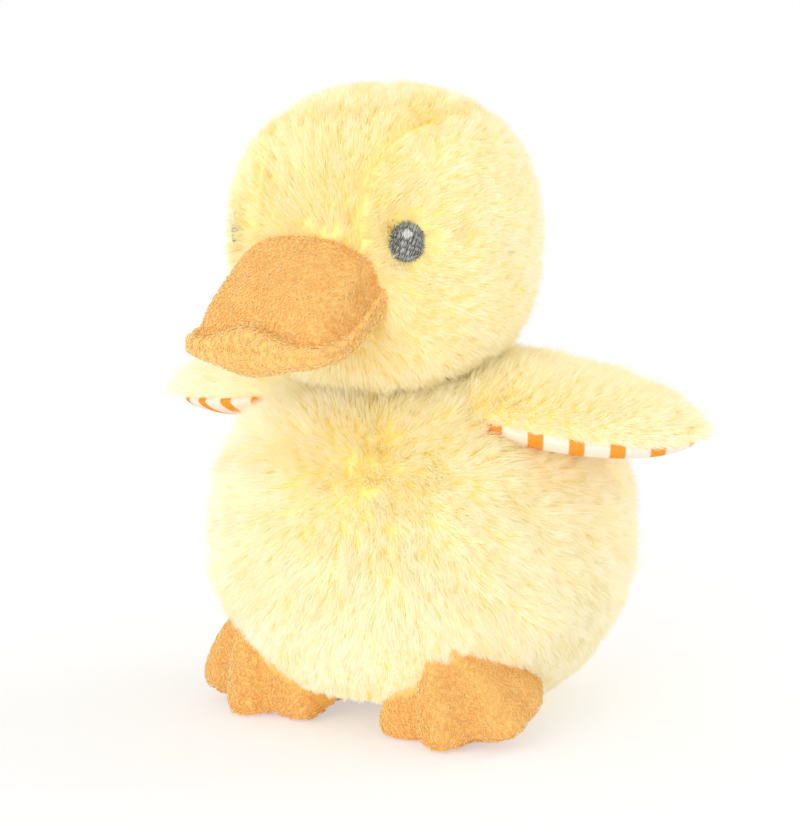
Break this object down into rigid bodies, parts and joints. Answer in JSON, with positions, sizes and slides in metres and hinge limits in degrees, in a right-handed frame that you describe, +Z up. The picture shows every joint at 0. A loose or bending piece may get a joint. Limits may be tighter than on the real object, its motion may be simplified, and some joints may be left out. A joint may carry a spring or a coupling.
{
  "type": "plush duck",
  "caption": "Sitting plush duck with a long-pile body and head, puffy wings with striped lining, a fleece bill and toed fleece feet.",
  "frame": {"origin": "on the floor, under the middle of the body, on its flat seat", "axes": "+Z up, the duck faces -Y, and +X is its left side"},
  "size_m": [0.176, 0.1672, 0.1855],
  "materials": {
    "yellow_plush": "long pile plush",
    "orange_fleece": "short boucle fleece",
    "striped_lining": "woven cotton with orange and white stripes",
    "grey_thread": "satin stitch embroidery",
    "white_thread": "satin stitch embroidery",
    "white_fibre": "fibre filling",
    "pouch_cloth": "plain woven pouch filled with pellets"
  },
  "bodies": {
    "body": {"body_front_panel": "yellow_plush", "body_left_panel": "yellow_plush", "body_right_panel": "yellow_plush", "body_base_panel": "yellow_plush", "body_stuffing": "white_fibre", "pellet_pouch": "pouch_cloth"},
    "neck": {"neck_stuffing": "white_fibre"},
    "head": {"head_crown_panel": "yellow_plush", "head_left_panel": "yellow_plush", "head_right_panel": "yellow_plush", "head_stuffing": "white_fibre", "upper_bill_panel": "orange_fleece", "lower_bill_panel": "orange_fleece", "bill_stuffing": "white_fibre", "left_eye": "grey_thread", "right_eye": "grey_thread", "left_eye_highlight": "white_thread", "right_eye_highlight": "white_thread"},
    "left_wing": {"left_wing_top": "yellow_plush", "left_wing_lining": "striped_lining", "left_wing_wadding": "white_fibre"},
    "right_wing": {"right_wing_top": "yellow_plush", "right_wing_lining": "striped_lining", "right_wing_wadding": "white_fibre"},
    "left_foot": {"left_foot_top": "orange_fleece", "left_foot_sole": "orange_fleece", "left_foot_stuffing": "white_fibre"},
    "right_foot": {"right_foot_top": "orange_fleece", "right_foot_sole": "orange_fleece", "right_foot_stuffing": "white_fibre"},
    "tail": {"tail_cover": "yellow_plush", "tail_stuffing": "white_fibre"}
  },
  "joints": [
    {"name": "head_turn", "type": "hinge", "parent": "body", "child": "neck", "pos_m": [0, -0.01, 0.1085], "axis": [0, 0, 1], "range_deg": [-12, 12], "stiffness_Nm_per_rad": 0.3},
    {"name": "head_nod", "type": "hinge", "parent": "neck", "child": "head", "pos_m": [0, -0.01, 0.1085], "axis": [1, 0, 0], "range_deg": [-8, 8], "stiffness_Nm_per_rad": 0.4},
    {"name": "left_wing_flap", "type": "hinge", "parent": "body", "child": "left_wing", "pos_m": [0.0385, 0, 0.0938], "axis": [0, -1, 0], "range_deg": [-35, 50], "stiffness_Nm_per_rad": 0.05},
    {"name": "right_wing_flap", "type": "hinge", "parent": "body", "child": "right_wing", "pos_m": [-0.0385, 0, 0.0938], "axis": [0, 1, 0], "range_deg": [-35, 50], "stiffness_Nm_per_rad": 0.05},
    {"name": "left_foot_flex", "type": "hinge", "parent": "body", "child": "left_foot", "pos_m": [0.0318, -0.0166, 0.0109], "axis": [-0.9877, -0.1564, 0], "range_deg": [-8, 6], "stiffness_Nm_per_rad": 0.05},
    {"name": "right_foot_flex", "type": "hinge", "parent": "body", "child": "right_foot", "pos_m": [-0.0318, -0.0166, 0.0109], "axis": [-0.9877, 0.1564, 0], "range_deg": [-8, 6], "stiffness_Nm_per_rad": 0.05},
    {"name": "tail_flex", "type": "hinge", "parent": "body", "child": "tail", "pos_m": [0, 0.0612, 0.0584], "axis": [1, 0, 0], "range_deg": [-15, 15], "stiffness_Nm_per_rad": 0.02}
  ]
}
